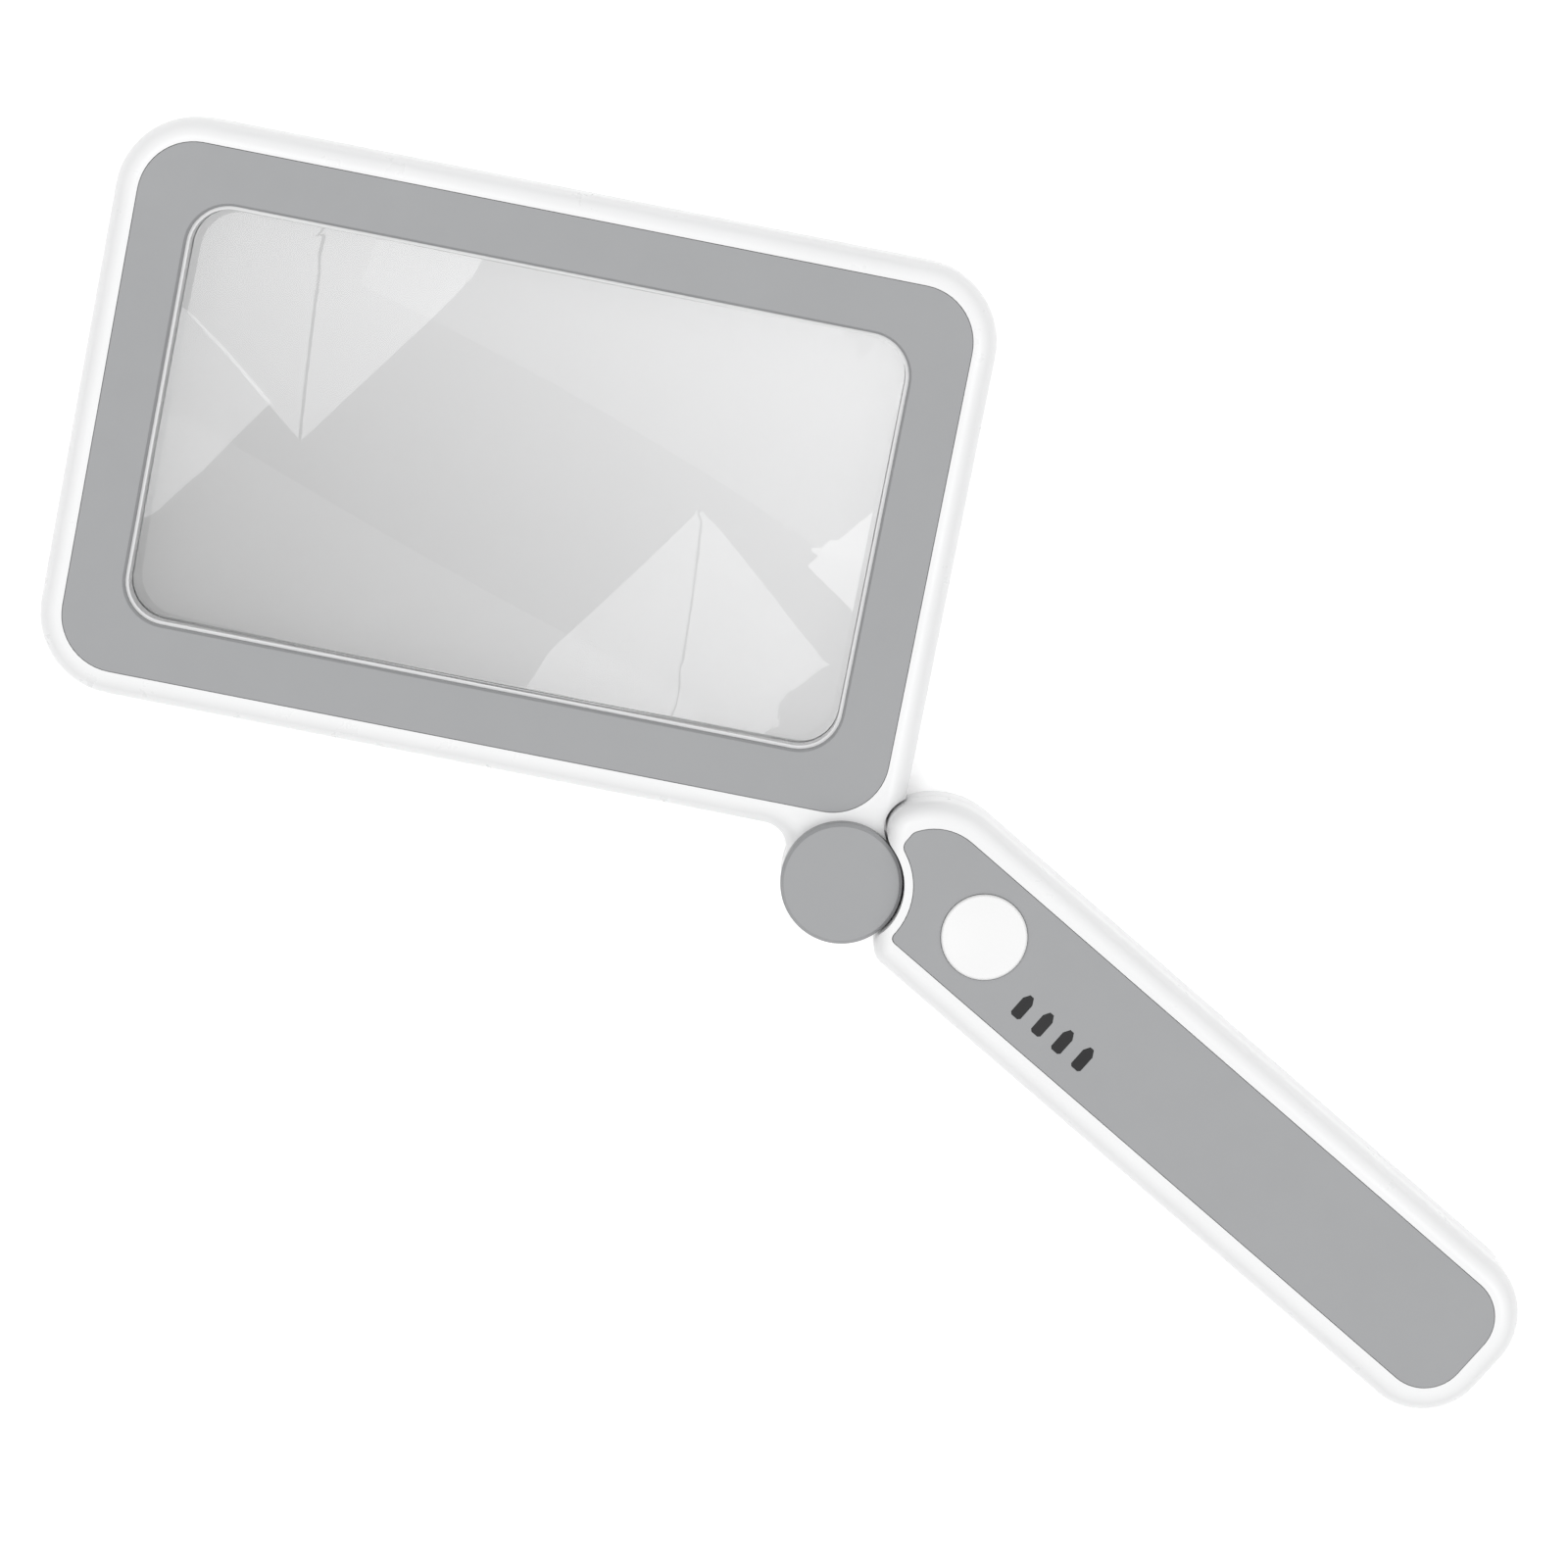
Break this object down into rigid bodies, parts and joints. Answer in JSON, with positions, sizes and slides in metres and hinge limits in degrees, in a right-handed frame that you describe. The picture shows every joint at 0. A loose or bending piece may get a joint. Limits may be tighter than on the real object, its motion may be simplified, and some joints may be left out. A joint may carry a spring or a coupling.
{
  "type": "folding lighted hand magnifier",
  "caption": "Rectangular hand magnifier: a framed clear lens with a rear light ring, hinged at one corner to a battery handle with a push button, charge windows and a charging socket.",
  "frame": {"origin": "on the hinge axis, in the plane of the rear faces, at the middle of the rear hinge cap", "axes": "+Z out of the front, towards the reader when the magnifier lies on its back; +X along the long edges of the lens head, from the head towards the hinge corner; the open handle points 30 degrees to the -Y side of +X"},
  "size_m": [0.2407, 0.1566, 0.0176],
  "materials": {
    "shell_white": "satin white ABS",
    "trim_gray": "matt gray ABS",
    "button_white": "satin white ABS",
    "lens_clear": "polished clear",
    "diffuser_frost": "frosted polycarbonate",
    "gasket_white": "white foam tape",
    "steel": "zinc plated",
    "bush_brass": "turned",
    "washer_nylon": "natural nylon",
    "board_white": "white solder mask",
    "board_green": "green solder mask",
    "led_yellow": "phosphor",
    "chip_black": "moulded epoxy",
    "component_tan": "ceramic",
    "connector_white": "nylon",
    "cell_silver": "laminated foil pouch",
    "pad_foam": "foam",
    "lead_red": "PVC",
    "lead_black": "PVC",
    "window_smoke": "smoked polycarbonate"
  },
  "bodies": {
    "head": {"head_front_shell": "shell_white", "head_rear_shell": "shell_white", "front_bezel": "trim_gray", "lens": "lens_clear", "lens_gasket": "gasket_white", "light_diffuser": "diffuser_frost", "led_board": "board_white", "light_leds": "led_yellow", "head_screws": "steel", "head_lead_red": "lead_red", "head_lead_black": "lead_black", "hinge_front_cap": "trim_gray", "hinge_pin": "steel", "hinge_nut": "steel", "disc_spring": "steel"},
    "handle": {"handle_front_shell": "shell_white", "handle_rear_shell": "shell_white", "handle_panel": "trim_gray", "hinge_rear_cap": "trim_gray", "hinge_bush": "bush_brass", "friction_washer": "washer_nylon", "switch_body": "chip_black", "main_board": "board_green", "indicator_windows": "window_smoke", "indicator_leds": "led_yellow", "board_screws": "steel", "control_chip": "chip_black", "board_components": "component_tan", "battery_connector": "connector_white", "charge_board": "board_green", "charge_socket": "steel", "battery_cell": "cell_silver", "battery_pad": "pad_foam", "handle_screws": "steel", "hinge_lead_red": "lead_red", "hinge_lead_black": "lead_black", "battery_lead_red": "lead_red", "battery_lead_black": "lead_black", "charge_lead_red": "lead_red", "charge_lead_black": "lead_black"},
    "button": {"power_button": "button_white"},
    "plunger": {"switch_plunger": "connector_white"}
  },
  "joints": [
    {"name": "handle_fold", "type": "hinge", "parent": "head", "child": "handle", "pos_m": [0, 0, 0], "axis": [0, 0, -1], "range_deg": [0, 150]},
    {"name": "button_press", "type": "slide", "parent": "handle", "child": "button", "axis": [0, 0, -1], "range_m": [0, 0.0004], "stiffness_N_per_m": 3000},
    {"name": "switch_press", "type": "slide", "parent": "handle", "child": "plunger", "axis": [0, 0, -1], "range_m": [0, 0.0004]}
  ],
  "couplings": [
    {"joint": "switch_press", "follows": "button_press", "ratio": 1}
  ]
}
